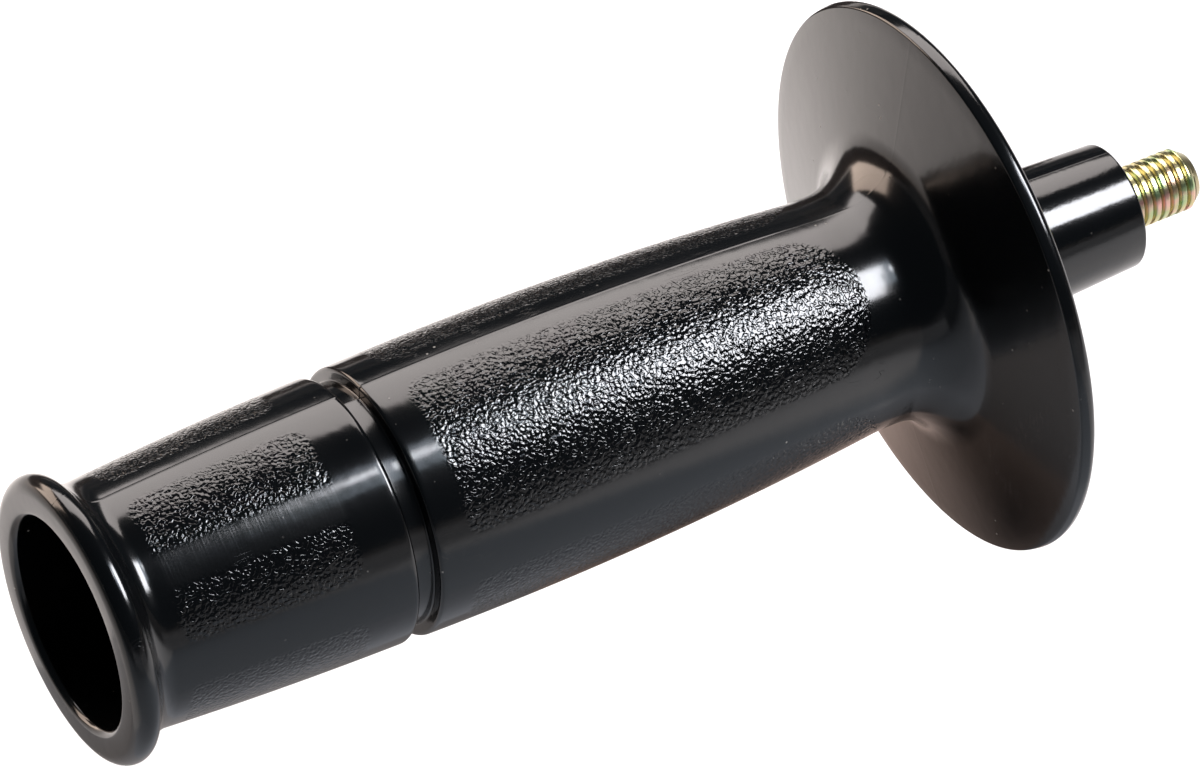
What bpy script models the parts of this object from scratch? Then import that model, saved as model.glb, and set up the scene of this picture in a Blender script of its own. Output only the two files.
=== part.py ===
"""Side handle of a power tool: one moulded body with a steel bolt through its boss.

The handle lies along X. The origin is the middle of the boss's end face, which seats on the
tool, and the bolt's thread points along +X. Each turned piece is drawn upright about Z, with
its seat face at height zero, and is then laid over so that its top points along +X.
Units are metres and radians.
"""
import math

import bmesh
import bpy
from mathutils import Vector

# gap between pieces that touch on the real handle
SEAT_GAP = 0.0003

# boss that seats on the tool
BOSS_RADIUS = 0.00805
BOSS_DRAFT = math.radians(2.6)
BOSS_EDGE = 0.0004
BOSS_ROOT_FILLET = 0.0015

# dished guard between the hand and the tool
GUARD_RADIUS = 0.0360
GUARD_SETBACK = 0.0246
GUARD_RIM_THICKNESS = 0.0024
GUARD_DISH = math.radians(12.6)
GUARD_DRAFT = math.radians(2.4)
GUARD_RIM_EDGE = 0.0009

# neck that sweeps from the front grip into the guard
NECK_FILLET = 0.0077

# front grip, a slow barrel from the guard's rim to the groove, thickest a little before its end
FRONT_GRIP_RADIUS = 0.01733
FRONT_GRIP_LENGTH = 0.0780
FRONT_GRIP_CROWN_SETBACK = 0.0140
FRONT_GRIP_SWEEP = 0.530
FRONT_GRIP_EDGE = 0.0005

# ring groove between the two grips
GROOVE_DEPTH = 0.00183
GROOVE_WIDTH = 0.0026
GROOVE_FOOT_FILLET = 0.00025

# rear grip, a little thinner, which narrows from the groove towards the open end
REAR_GRIP_STEP = 0.00026
REAR_GRIP_LENGTH = 0.0388
REAR_GRIP_CROWN_LEAD = 0.0086
REAR_GRIP_SWEEP = 0.585
REAR_GRIP_EDGE = 0.0008

# rolled bead round the open end
BEAD_HEIGHT = 0.00128
BEAD_ROUND = 0.0019
BEAD_ROOT_FILLET = 0.0035

# hollow, which widens towards the open end
MOUTH_WALL = 0.00485
MOUTH_LIP = 0.0010
HOLLOW_DRAFT = math.radians(0.4)
HOLLOW_FLOOR_FILLET = 0.0015

# hexagon bolt whose end is the threaded stud
BOLT_DIAMETER = 0.0080
BOLT_LENGTH = 0.0500
STUD_REACH = 0.0109
STUD_TIP_DEPTH = 0.0010
STUD_TIP_LENGTH = 0.0014
HEAD_ACROSS_FLATS = 0.0130
HEAD_HEIGHT = 0.0053
HEAD_CHAMFER = math.radians(30.0)
HEAD_RECESS = 0.0006

# facets
TURN_STEPS = 72
BOLT_STEPS = 48
SWEEP_STEP = math.radians(13.0)
EDGE_STEP = math.radians(34.0)
GRIP_STEPS = 6
HEX_SIDES = 6
MERGE_DISTANCE = 0.000001

# finishes
MOULDING_COLOUR = (0.012, 0.013, 0.015)
MOULDING_ROUGHNESS = 0.22
ZINC_COLOUR = (0.72, 0.62, 0.36)
ZINC_ROUGHNESS = 0.32

# values that follow from the sizes above; heights run down from the seat face
rim_back_height = -(GUARD_SETBACK + GUARD_RIM_THICKNESS)
groove_top = rim_back_height - FRONT_GRIP_LENGTH
groove_bottom = groove_top - GROOVE_WIDTH
open_end = groove_bottom - REAR_GRIP_LENGTH
front_crown = groove_top + FRONT_GRIP_CROWN_SETBACK
rear_crown = groove_bottom + REAR_GRIP_CROWN_LEAD
rear_grip_radius = FRONT_GRIP_RADIUS - REAR_GRIP_STEP
groove_radius = FRONT_GRIP_RADIUS - GROOVE_DEPTH
bead_crown_radius = rear_grip_radius + BEAD_HEIGHT
mouth_radius = bead_crown_radius - MOUTH_WALL
bolt_radius = BOLT_DIAMETER / 2
bolt_hole_radius = bolt_radius + SEAT_GAP
head_seat = -(BOLT_LENGTH - STUD_REACH)
pocket_end = head_seat + SEAT_GAP
head_top = head_seat - HEAD_HEIGHT
hollow_floor = head_top - HEAD_RECESS
head_corner_radius = HEAD_ACROSS_FLATS / 2 / math.cos(math.pi / HEX_SIDES)
pocket_corner_radius = (HEAD_ACROSS_FLATS / 2 + SEAT_GAP) / math.cos(math.pi / HEX_SIDES)
hollow_floor_radius = mouth_radius - (hollow_floor - open_end) * math.tan(HOLLOW_DRAFT)


def arc(centre, radius, start, end, steps):
    """Points on an arc of a profile, both ends included. Angles turn from +radius to +height."""
    angles = [start + (end - start) * i / steps for i in range(steps + 1)]
    return [centre + radius * Vector((math.cos(a), math.sin(a))) for a in angles]


def direction(from_point, to_point):
    """The angle of one profile point as seen from another."""
    offset = to_point - from_point
    return math.atan2(offset.y, offset.x)


def short_arc(centre, radius, first, last, step):
    """The arc from one point to another, the short way round, in parts no longer than a step."""
    start = direction(centre, first)
    turn = (direction(centre, last) - start + math.pi) % (2 * math.pi) - math.pi
    return arc(centre, radius, start, start + turn, max(1, math.ceil(abs(turn) / step)))


def rounded(before, corner, after, radius):
    """A straight-sided corner with its point rounded off."""
    to_before = (before - corner).normalized()
    to_after = (after - corner).normalized()
    half_angle = to_before.angle(to_after) / 2
    reach = radius / math.tan(half_angle)
    centre = corner + (to_before + to_after).normalized() * (radius / math.sin(half_angle))
    start = corner + to_before * reach
    end = corner + to_after * reach
    return short_arc(centre, radius, start, end, EDGE_STEP)


def line_meeting(point_a, heading_a, point_b, heading_b):
    """Where two lines cross."""
    step = (point_b - point_a).cross(heading_b) / heading_a.cross(heading_b)
    return point_a + heading_a * step


def circle_meeting(centre_a, radius_a, centre_b, radius_b):
    """The higher of the two points where two circles cross."""
    offset = centre_b - centre_a
    span = offset.length
    along = (span**2 + radius_a**2 - radius_b**2) / (2 * span)
    aside = math.sqrt(radius_a**2 - along**2)
    middle = centre_a + offset * (along / span)
    across = Vector((-offset.y, offset.x)) * (aside / span)
    return max(middle + across, middle - across, key=lambda p: p.y)


def grip_centre(grip_radius, crown, sweep):
    """The centre of a grip's long profile arc, from its thickest radius and the height of that."""
    return Vector((grip_radius - sweep, crown))


def grip_point(centre, sweep, height):
    """The point of a grip's arc at a height."""
    return Vector((centre.x + math.sqrt(sweep**2 - (height - centre.y) ** 2), height))


def grip_run(centre, sweep, upper, lower):
    """A grip's arc between two of its points, from the upper one down."""
    return arc(centre, sweep, direction(centre, upper), direction(centre, lower), GRIP_STEPS)


def guard_and_neck(front_centre):
    """Boss, guard and the sweep of the neck, from the seat face down to the front grip."""
    boss_top = Vector((BOSS_RADIUS, 0.0))
    boss_heading = Vector((math.sin(BOSS_DRAFT), -math.cos(BOSS_DRAFT)))
    rim_front = Vector((GUARD_RADIUS, -GUARD_SETBACK))
    rim_back = Vector((GUARD_RADIUS, rim_back_height))
    front_slope = GUARD_DISH - GUARD_DRAFT
    front_inward = Vector((-math.cos(front_slope), -math.sin(front_slope)))
    back_inward = Vector((-math.cos(GUARD_DISH), -math.sin(GUARD_DISH)))
    boss_root = line_meeting(boss_top, boss_heading, rim_front, front_inward)

    # the neck's arc touches the guard's back and the front grip's arc
    back_normal = Vector((math.sin(GUARD_DISH), -math.cos(GUARD_DISH)))
    start = rim_back + back_normal * NECK_FILLET
    from_grip = start - front_centre
    reach = FRONT_GRIP_SWEEP + NECK_FILLET
    half = from_grip.dot(back_inward)
    travel = -half - math.sqrt(half**2 - from_grip.length_squared + reach**2)
    neck_centre = start + back_inward * travel
    on_guard = neck_centre - back_normal * NECK_FILLET
    on_grip = neck_centre + (front_centre - neck_centre).normalized() * NECK_FILLET

    bolt_hole = Vector((bolt_hole_radius, 0.0))
    points = [bolt_hole]
    points += rounded(bolt_hole, boss_top, boss_root, BOSS_EDGE)
    points += rounded(boss_top, boss_root, rim_front, BOSS_ROOT_FILLET)
    points += rounded(boss_root, rim_front, rim_back, GUARD_RIM_EDGE)
    points += rounded(rim_front, rim_back, on_guard, GUARD_RIM_EDGE)
    points += short_arc(neck_centre, NECK_FILLET, on_guard, on_grip, SWEEP_STEP)
    return points


def ring_groove(front_centre, rear_centre):
    """The groove with the rounded ends of both grips."""
    front_end = grip_point(front_centre, FRONT_GRIP_SWEEP, groove_top)
    rear_end = grip_point(rear_centre, REAR_GRIP_SWEEP, groove_bottom)
    above = grip_point(front_centre, FRONT_GRIP_SWEEP, groove_top + FRONT_GRIP_EDGE)
    below = grip_point(rear_centre, REAR_GRIP_SWEEP, groove_bottom - REAR_GRIP_EDGE)
    upper_foot = Vector((groove_radius, groove_top))
    lower_foot = Vector((groove_radius, groove_bottom))
    points = rounded(above, front_end, upper_foot, FRONT_GRIP_EDGE)
    points += rounded(front_end, upper_foot, lower_foot, GROOVE_FOOT_FILLET)
    points += rounded(upper_foot, lower_foot, rear_end, GROOVE_FOOT_FILLET)
    points += rounded(lower_foot, rear_end, below, REAR_GRIP_EDGE)
    return points


def bead(rear_centre):
    """The rear grip's root and the rolled bead, down to the open end's flat face."""
    bead_centre = Vector((bead_crown_radius - BEAD_ROUND, open_end + BEAD_ROUND))
    root_centre = circle_meeting(
        bead_centre, BEAD_ROUND + BEAD_ROOT_FILLET, rear_centre, REAR_GRIP_SWEEP + BEAD_ROOT_FILLET
    )
    on_grip = root_centre + (rear_centre - root_centre).normalized() * BEAD_ROOT_FILLET
    on_bead = bead_centre + (root_centre - bead_centre).normalized() * BEAD_ROUND
    on_face = bead_centre - Vector((0.0, BEAD_ROUND))
    points = short_arc(root_centre, BEAD_ROOT_FILLET, on_grip, on_bead, SWEEP_STEP)
    points += short_arc(bead_centre, BEAD_ROUND, on_bead, on_face, SWEEP_STEP)
    return points


def hollow(face_start):
    """The inside, from the open end's face up to the bolt hole."""
    mouth = Vector((mouth_radius, open_end))
    floor_corner = Vector((hollow_floor_radius, hollow_floor))
    hole_bottom = Vector((bolt_hole_radius, hollow_floor))
    points = rounded(face_start, mouth, floor_corner, MOUTH_LIP)
    points += rounded(mouth, floor_corner, hole_bottom, HOLLOW_FLOOR_FILLET)
    points.append(hole_bottom)
    return points


def body_profile():
    """The body's closed outline, down its outer side and back up through the hollow."""
    front_centre = grip_centre(FRONT_GRIP_RADIUS, front_crown, FRONT_GRIP_SWEEP)
    rear_centre = grip_centre(rear_grip_radius, rear_crown, REAR_GRIP_SWEEP)
    top = guard_and_neck(front_centre)
    groove = ring_groove(front_centre, rear_centre)
    bottom = bead(rear_centre)
    front_grip = grip_run(front_centre, FRONT_GRIP_SWEEP, top[-1], groove[0])[1:-1]
    rear_grip = grip_run(rear_centre, REAR_GRIP_SWEEP, groove[-1], bottom[0])[1:-1]
    return top + front_grip + groove + rear_grip + bottom + hollow(bottom[-1])


def bolt_profile():
    """The bolt's shank with its chamfered tip, from the tip down into the head."""
    tip = STUD_REACH
    inside_head = head_seat - HEAD_HEIGHT / 2
    return [
        Vector((0.0, tip)),
        Vector((bolt_radius - STUD_TIP_DEPTH, tip)),
        Vector((bolt_radius, tip - STUD_TIP_LENGTH)),
        Vector((bolt_radius, inside_head)),
        Vector((0.0, inside_head)),
    ]


def head_limit_profile():
    """The cone that chamfers the head's corners, from above its seat down to its top."""
    flat_radius = HEAD_ACROSS_FLATS / 2
    rise = (head_corner_radius - flat_radius) * math.tan(HEAD_CHAMFER)
    return [
        Vector((0.0, head_seat)),
        Vector((head_corner_radius, head_seat)),
        Vector((head_corner_radius, head_top + rise)),
        Vector((flat_radius, head_top)),
        Vector((0.0, head_top)),
    ]


def new_collection(name):
    collection = bpy.data.collections.new(name)
    bpy.context.scene.collection.children.link(collection)
    return collection


def new_material(name, colour, metallic, roughness):
    material = bpy.data.materials.new(name)
    material.use_nodes = True
    shader = material.node_tree.nodes["Principled BSDF"]
    shader.inputs["Base Color"].default_value = (*colour, 1.0)
    shader.inputs["Metallic"].default_value = metallic
    shader.inputs["Roughness"].default_value = roughness
    material.diffuse_color = (*colour, 1.0)
    material.metallic = metallic
    material.roughness = roughness
    return material


def lay_over(piece):
    """Turns an upright piece so that its top points along +X."""
    piece.rotation_euler = (0.0, math.radians(90.0), 0.0)


def turned_piece(name, profile, closed, steps, collection):
    """A profile in the XZ plane swept round Z by a Screw modifier."""
    outline = bmesh.new()
    verts = [outline.verts.new((p.x, 0.0, p.y)) for p in profile]
    for first, second in zip(verts, verts[1:]):
        outline.edges.new((first, second))
    if closed:
        outline.edges.new((verts[-1], verts[0]))
    mesh = bpy.data.meshes.new(name)
    outline.to_mesh(mesh)
    outline.free()
    piece = bpy.data.objects.new(name, mesh)
    collection.objects.link(piece)
    lay_over(piece)
    turn = piece.modifiers.new("Turn", "SCREW")
    turn.angle = math.radians(360.0)
    turn.axis = "Z"
    turn.steps = steps
    turn.render_steps = steps
    turn.use_merge_vertices = True
    turn.merge_threshold = MERGE_DISTANCE
    turn.use_smooth_shade = True
    return piece


def hexagon_piece(name, corner_radius, top, bottom, collection):
    """A hexagonal prism about Z between two heights."""
    prism = bmesh.new()
    bmesh.ops.create_cone(
        prism,
        cap_ends=True,
        segments=HEX_SIDES,
        radius1=corner_radius,
        radius2=corner_radius,
        depth=top - bottom,
    )
    bmesh.ops.translate(prism, verts=prism.verts, vec=(0.0, 0.0, (top + bottom) / 2))
    mesh = bpy.data.meshes.new(name)
    prism.to_mesh(mesh)
    prism.free()
    piece = bpy.data.objects.new(name, mesh)
    collection.objects.link(piece)
    lay_over(piece)
    return piece


def mark_as_tool(piece):
    piece.hide_render = True
    piece.display_type = "WIRE"


def add_boolean(piece, tool, operation):
    cut = piece.modifiers.new(tool.name, "BOOLEAN")
    cut.operation = operation
    cut.solver = "EXACT"
    cut.object = tool


def build_body(parts, tools):
    """The moulded body, with a hexagonal pocket for the bolt's head in the hollow's floor."""
    body = turned_piece("handle_body", body_profile(), True, TURN_STEPS, parts)
    below_floor = hollow_floor - HEAD_RECESS
    pocket = hexagon_piece("pocket_tool", pocket_corner_radius, pocket_end, below_floor, tools)
    mark_as_tool(pocket)
    add_boolean(body, pocket, "DIFFERENCE")
    finish = new_material("black_moulding", MOULDING_COLOUR, 0.0, MOULDING_ROUGHNESS)
    body.data.materials.append(finish)
    return body


def build_bolt(parts, tools):
    """The hexagon bolt, whose threaded end stands out of the boss."""
    bolt = hexagon_piece("stud_bolt", head_corner_radius, head_seat, head_top, parts)
    limit = turned_piece("head_limit_tool", head_limit_profile(), False, BOLT_STEPS, tools)
    shank = turned_piece("shank_tool", bolt_profile(), False, BOLT_STEPS, tools)
    for tool, operation in ((limit, "INTERSECT"), (shank, "UNION")):
        mark_as_tool(tool)
        add_boolean(bolt, tool, operation)
    finish = new_material("yellow_zinc_steel", ZINC_COLOUR, 1.0, ZINC_ROUGHNESS)
    bolt.data.materials.append(finish)
    return bolt


def main():
    for old in list(bpy.data.objects):
        bpy.data.objects.remove(old, do_unlink=True)
    parts = new_collection("power_tool_side_handle")
    tools = new_collection("cutting_tools")
    build_body(parts, tools)
    build_bolt(parts, tools)


main()
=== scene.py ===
"""Dresses the side handle of a power tool: moulded body, threaded bolt and a plain studio.

The handle lies along X, with the thread pointing along +X and the origin in the middle of the
boss's end face. Both pieces are turned shapes: each is an outline of radius and height, where the
height is the place along X, swept round the axis in columns. A column's angle is counted from
straight up (+Z) towards -Y. Units are metres and radians.
"""

import math

import bmesh
import bpy
import numpy as np
from bpy.props import FloatProperty, FloatVectorProperty, PointerProperty
from mathutils import Matrix, Vector


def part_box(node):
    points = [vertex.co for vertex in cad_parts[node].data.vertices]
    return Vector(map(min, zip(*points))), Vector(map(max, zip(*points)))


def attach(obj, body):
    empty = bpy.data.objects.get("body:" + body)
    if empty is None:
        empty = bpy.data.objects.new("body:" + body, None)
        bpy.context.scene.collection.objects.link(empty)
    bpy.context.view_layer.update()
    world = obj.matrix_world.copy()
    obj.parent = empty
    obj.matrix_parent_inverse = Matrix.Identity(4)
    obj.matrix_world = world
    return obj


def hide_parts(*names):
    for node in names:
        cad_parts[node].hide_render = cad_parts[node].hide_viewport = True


bl_info = {
    "name": "Power Tool Side Handle",
    "version": (1, 0, 0),
    "blender": (4, 5, 0),
    "location": "3D View > Sidebar > Side Handle",
    "description": "Builds the finished side handle round its packed model, with a plain studio",
    "category": "Object",
}

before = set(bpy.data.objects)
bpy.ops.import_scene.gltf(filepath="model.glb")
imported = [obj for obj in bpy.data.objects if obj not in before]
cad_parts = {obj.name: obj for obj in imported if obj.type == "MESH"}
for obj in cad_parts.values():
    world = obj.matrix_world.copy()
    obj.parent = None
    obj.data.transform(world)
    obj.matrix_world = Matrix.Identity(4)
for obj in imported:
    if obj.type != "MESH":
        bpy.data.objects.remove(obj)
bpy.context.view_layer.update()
body_low, body_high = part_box("handle_body")
bolt_low, bolt_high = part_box("stud_bolt")

# facets of the dressed meshes
BODY_COLUMNS = 240
BOLT_COLUMNS = 96
SWEEP_STEP = math.radians(3.0)
EASE_STEP = math.radians(0.6)
EDGE_STEP = math.radians(14.0)
BEAD_STEP = math.radians(9.0)
GRIP_ROW = 0.00050
WALL_ROWS = 8
FACE_ROWS = 2
THREAD_ROWS = 14
CHAMFER_ROWS = 8
HEX_SIDES = 6
MERGE_DISTANCE = 0.000002
CREASE_ANGLE = math.radians(32.0)
TINY_LENGTH = 1e-12

# mould line: a thin ridge between extra columns, fainter past the neck and gone at the bead
MOULD_LINE_ANGLE = math.radians(-8.5)
MOULD_LINE_COLUMNS = tuple(math.radians(a) for a in (-0.85, -0.5, -0.3, -0.1, 0.1, 0.3, 0.5, 0.85))
MOULD_LINE_SPREAD = math.radians(0.3)
NECK_LIMIT = -0.045
NECK_FADE = 0.006
NECK_SHARE = 0.2
BEAD_LIMIT = -0.1425
BEAD_FADE = 0.002

# grain patches, four on each grip, either side of the mould line and its opposite
PATCH_OFFSETS = tuple(math.radians(a) for a in (43.5, 136.5, 223.5, 316.5))
PATCH_HALF_ANGLE = math.radians(36.0)
FRONT_PATCH = (-0.1007, -0.0413)
FRONT_PATCH_NOSE = 0.0080
REAR_PATCH = (-0.1383, -0.1142)
PATCH_CORNER = 0.0022
PATCH_BORDER = 0.0006

# buffed strip along the rear grip, which parts its near patch in two
STRIP_ANGLE = math.radians(36.8)
STRIP_HALF_ANGLE = math.radians(9.6)

# bolt: turns over which the thread runs out, and the head's washer face and chamfer
RUN_OUT_TURNS = 1.5
WASHER_SHARE = 0.97
CHAMFER_REACH = 1.02

# pebbles of the grain, and the winding creases between them
PEBBLE_RANGE = (0.22, 0.78)
CREASE_SHIFT = (0.31, 0.17, 0.53)
CREASE_SCALE = 0.8
CREASE_WIDTH = 0.10
CREASE_POWER = 2.0
CREASE_DEPTH = 0.32

# fine wear: noise scales in turns per metre, and the ranges that the marks are picked from
SPECK_RANGE = (0.13, 0.06)
SPECK_SCALE = 170.0
SPECK_PICK = (0.60, 0.66)
SCRATCH_STRETCH = (260.0, 1900.0, 420.0)
SCRATCH_WIDTH = 0.006
SCRATCH_SCALE = 90.0
SCRATCH_PICK = (0.60, 0.72)
CLOUD_SCALE = 60.0
CLOUD_RANGE = (0.3, 0.7)

# moulding: what each mark adds to the roughness, and the bumps of its skin
MOULDING_SPECK = 0.0015
SCRATCH_SHARE = 0.04
MOULDING_CLOUD = (-0.02, 0.03)
BUFFED_ROUGHNESS = 0.03
GRAIN_ROUGHNESS = 0.04
MARK_ROUGHNESS = 0.3
RIPPLE_SCALE = 1800.0
RIPPLE_PLACE = (-0.028, -0.022)
RIPPLE_AMOUNT = (0.05, 0.35)
PEEL_SCALE = 420.0
PEEL_DEPTH = 0.00002
BRUSH_STRETCH = (5200.0, 160.0, 160.0)
BRUSH_DEPTH = 0.000007
DUST_DEPTH = 0.000008
MOULDING_IOR = 1.6

# plating: where its tints lie, where painted shade darkens the thread's root, and the bumps of its skin
ZINC_SPECK = 0.0009
GREEN_SCALE = 330.0
GREEN_RANGE = (0.45, 0.62)
PINK_SCALE = 250.0
PINK_STRETCH = (1.0, 1.3, 1.7)
PINK_RANGE = (0.50, 0.66)
ROOT_SHADE_RANGE = (0.25, 0.95)
ROOT_SHADE_SHARE = 0.85
ZINC_CLOUD = (-0.04, 0.08)
PLATING_SCALE = 2600.0
PLATING_DEPTH = 0.000012

# floor: its flat radius, the curve up to its backdrop, and where the painted shade on its near side
# begins
FLOOR_FLAT = 2.6
BACKDROP_CURVE = 0.4
BACKDROP_RISE = 0.3
CURVE_STEPS = 12
FLOOR_COLUMNS = 96
FLOOR_WELD = 0.0001
NEAR_SIDE_Y = (-0.03, -0.09)
NEAR_SIDE_X = (0.07, 0.03)
MATT_ROUGHNESS = 0.9

# lamp over the floor behind the handle
FLOOR_LAMP_SIZE = (0.26, 0.16)
FLOOR_LAMP_PLACE = (-0.10, 0.20, 0.13)
FLOOR_LAMP_TINT = (1.07, 0.97, 0.90)

# softboxes: swing, lean and roll in degrees, then distance, width, height and tint
COOL = (0.98, 0.99, 1.04)
SOFTBOXES = {
    "key": (25.5, 54.5, 8.0, 0.90, 0.38, 0.32, COOL),
    "skirt": (22.5, 68.0, 0.0, 0.90, 0.30, 0.24, (0.86, 1.0, 1.16)),
    "glint": (20.5, 74.0, 0.0, 0.90, 0.08, 0.07, COOL),
    "back": (-44.0, 74.0, -25.0, 1.20, 0.66, 1.14, (1.07, 0.99, 0.96)),
    "low": (-75.0, 112.0, 23.0, 1.25, 0.70, 0.86, (1.23, 0.97, 0.80)),
    "front": (99.0, 92.0, 0.0, 1.10, 0.66, 1.90, COOL),
}

# cards under the handle, its painted shadow on the floor, dark in the middle and out to floor tints:
# ends, sides, outer tint, then the tint's centre, reach and squeeze
CARD_HEIGHT = -0.06
UNDER_CARDS = {
    "near_shadow_card": ((-0.19, -0.008), (-0.056, -0.008), (0.47, 0.50, 0.54), (-0.025, -0.008), 0.045, 1.0),
    "guard_shadow_card": ((-0.068, -0.008), (-0.008, 0.050), (0.90, 0.71, 0.62), (-0.045, 0.0), 0.050, 0.6),
    "far_shadow_card": ((-0.19, -0.068), (-0.008, 0.050), (0.50, 0.50, 0.51), (-0.045, 0.0), 0.050, 0.6),
}

# card behind the handle, a dark strip of painted shade for the glossy surfaces to mirror: swing and lean
# in degrees down its two edges, as seen from the neck
NECK_PLACE = (-0.036, 0.012, 0.014)
REAR_CARD_DISTANCE = 0.17
REAR_CARD_EDGES = (
    ((-120, 55), (-117, 80), (-113, 97), (-110, 108), (-107, 116), (-102, 126), (-99, 136), (-96, 148)),
    ((-97, 55), (-97, 80), (-98, 97), (-95, 108), (-89, 116), (-82, 126), (-79, 136), (-78, 148)),
)

# camera: width of its sensor in millimetres, and its clipping distances
SENSOR_WIDTH = 36.0
CLIP_START = 0.05
CLIP_END = 20.0

# places of the colour sockets on a Mix node
MIX_FIRST = 6
MIX_SECOND = 7
MIX_RESULT = 2


def length_property(name, description, default):
    return FloatProperty(
        name=name, description=description, default=default, min=0.0, unit="LENGTH", precision=5
    )


def angle_property(name, description, degrees):
    return FloatProperty(
        name=name, description=description, default=math.radians(degrees), subtype="ANGLE"
    )


def share_property(name, description, default):
    return FloatProperty(
        name=name, description=description, default=default, min=0.0, max=1.0, subtype="FACTOR"
    )


def colour_property(name, description, default):
    return FloatVectorProperty(
        name=name, description=description, default=default, size=3, min=0.0, subtype="COLOR"
    )


def brightness_property(name, description, default):
    return FloatProperty(name=name, description=description, default=default, min=0.0)


class SideHandleBodySettings(bpy.types.PropertyGroup):
    """Sizes of the moulded body."""

    boss_radius: length_property("Boss Radius", "Radius of the boss at its end face", 0.00805)
    boss_draft: angle_property("Boss Draft", "Taper of the boss", 2.6)
    boss_edge: length_property("Boss Edge", "Rounding of the boss's end", 0.0004)
    boss_root: length_property("Boss Root", "Fillet between boss and guard", 0.0015)
    bolt_hole: length_property("Bolt Hole", "Radius of the hole round the bolt", 0.00405)
    guard_radius: length_property(
        "Guard Radius", "Outer radius of the guard", (body_high.y - body_low.y) / 2
    )
    guard_setback: length_property("Guard Setback", "From the end face to the rim", 0.0246)
    guard_rim: length_property("Guard Rim", "Thickness of the guard's rim", 0.0024)
    guard_dish: angle_property("Guard Dish", "Lean of the guard's back", 12.6)
    guard_draft: angle_property("Guard Draft", "How much the guard thickens inwards", 2.4)
    rim_draft: angle_property("Rim Draft", "Taper of the rim towards the grip", 11.0)
    guard_edge: length_property("Guard Edge", "Rounding of the rim's front", 0.0010)
    rim_edge: length_property("Rim Edge", "Rounding of the rim's back", 0.0004)
    neck_fillet: length_property("Neck Fillet", "Sweep from the grip into the guard", 0.0077)
    neck_ease: length_property("Neck Ease", "Radius of the gentle arc before that sweep", 0.040)
    neck_start: length_property("Neck Start", "From the end face to that arc's start", 0.0422)
    front_grip: length_property("Front Grip", "Largest radius of the front grip", 0.01733)
    front_length: length_property("Front Length", "From the guard's rim to the groove", 0.0780)
    front_swell: length_property("Front Swell", "From the groove to the thickest place", 0.0140)
    front_sweep: length_property("Front Sweep", "Radius of the front grip's long arc", 0.530)
    front_edge: length_property("Front Edge", "Rounding at the groove", 0.0005)
    groove_depth: length_property("Groove Depth", "Below the front grip's radius", 0.00183)
    groove_width: length_property("Groove Width", "Width of the ring groove", 0.0026)
    groove_foot: length_property("Groove Foot", "Fillet in the groove's corners", 0.00025)
    rear_step: length_property("Rear Step", "How much thinner the rear grip is", 0.00026)
    rear_swell: length_property("Rear Swell", "How far the arc's highest place lies ahead", 0.0086)
    rear_sweep: length_property("Rear Sweep", "Radius of the rear grip's long arc", 0.585)
    rear_edge: length_property("Rear Edge", "Rounding at the groove", 0.0008)
    bead_height: length_property("Bead Height", "How far the bead stands out", 0.00128)
    bead_round: length_property("Bead Round", "Radius of the bead's section", 0.0019)
    bead_root: length_property("Bead Root", "Fillet between grip and bead", 0.0035)
    mouth_wall: length_property("Mouth Wall", "From the bead's top to the mouth", 0.00485)
    mouth_lip: length_property("Mouth Lip", "Rounding of the mouth's edge", 0.0010)
    hollow_draft: angle_property("Hollow Draft", "Taper of the hollow", 0.4)
    floor_fillet: length_property("Floor Fillet", "Fillet at the hollow's floor", 0.0015)
    floor_depth: length_property("Floor Depth", "From the end face to the floor", 0.0450)
    pocket_depth: length_property("Pocket Depth", "From the end face to the pocket's end", 0.0388)
    pocket_flats: length_property("Pocket Flats", "Across the flats of the pocket", 0.0136)
    pocket_edge: length_property("Pocket Edge", "Bevel of the pocket's edge", 0.0003)
    mould_line: length_property("Mould Line", "Height of the mould line's ridge", 0.00004)


class SideHandleBoltSettings(bpy.types.PropertyGroup):
    """Sizes of the hexagon bolt."""

    radius: length_property("Radius", "Outside radius of the thread", 0.0040)
    pitch: length_property("Pitch", "From one turn of the thread to the next", 0.00125)
    crest: share_property("Crest", "Flat of a turn's crest, as a share of the pitch", 0.54)
    root: share_property("Root", "Flat of the thread's root, as a share of the pitch", 0.08)
    depth: length_property("Depth", "Depth of the thread", 0.00050)
    thread_length: length_property("Thread Length", "Length of the thread", 0.0220)
    tip_depth: length_property("Tip Depth", "How much the tip narrows", 0.0010)
    tip_length: length_property("Tip Length", "Length of the tip's chamfer", 0.0014)
    head_flats: length_property("Head Flats", "Across the flats of the head", 0.0130)
    head_height: length_property("Head Height", "Height of the head", 0.0053)
    head_chamfer: angle_property("Head Chamfer", "Slope of the head's chamfer", 30.0)
    washer_face: length_property("Washer Face", "Height of the face under the head", 0.0002)


class SideHandleFinishSettings(bpy.types.PropertyGroup):
    """Colours and roughness of the two materials."""

    moulding: colour_property("Moulding", "Colour of the plastic", (0.0018, 0.0021, 0.0025))
    moulding_dust: colour_property("Dust", "Colour of specks on the plastic", (0.30, 0.28, 0.25))
    moulding_roughness: share_property("Moulding Roughness", "Roughness of the plastic", 0.14)
    grain_size: length_property("Grain Size", "From one pebble of the grain to the next", 0.00047)
    grain_depth: length_property("Grain Depth", "Depth of the grain", 0.000062)
    zinc_gold: colour_property("Zinc Gold", "Main tint of the plating", (0.64, 0.57, 0.29))
    zinc_green: colour_property("Zinc Green", "Green tint of the plating", (0.40, 0.55, 0.29))
    zinc_pink: colour_property("Zinc Pink", "Pink tint of the plating", (0.78, 0.45, 0.38))
    # painted shade: a darker tint that stands for the shade in the thread's root
    zinc_root_shade: colour_property("Zinc Root Shade", "Dull tint in the thread's root", (0.46, 0.40, 0.22))
    zinc_roughness: share_property("Zinc Roughness", "Roughness of the plating", 0.24)


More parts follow.
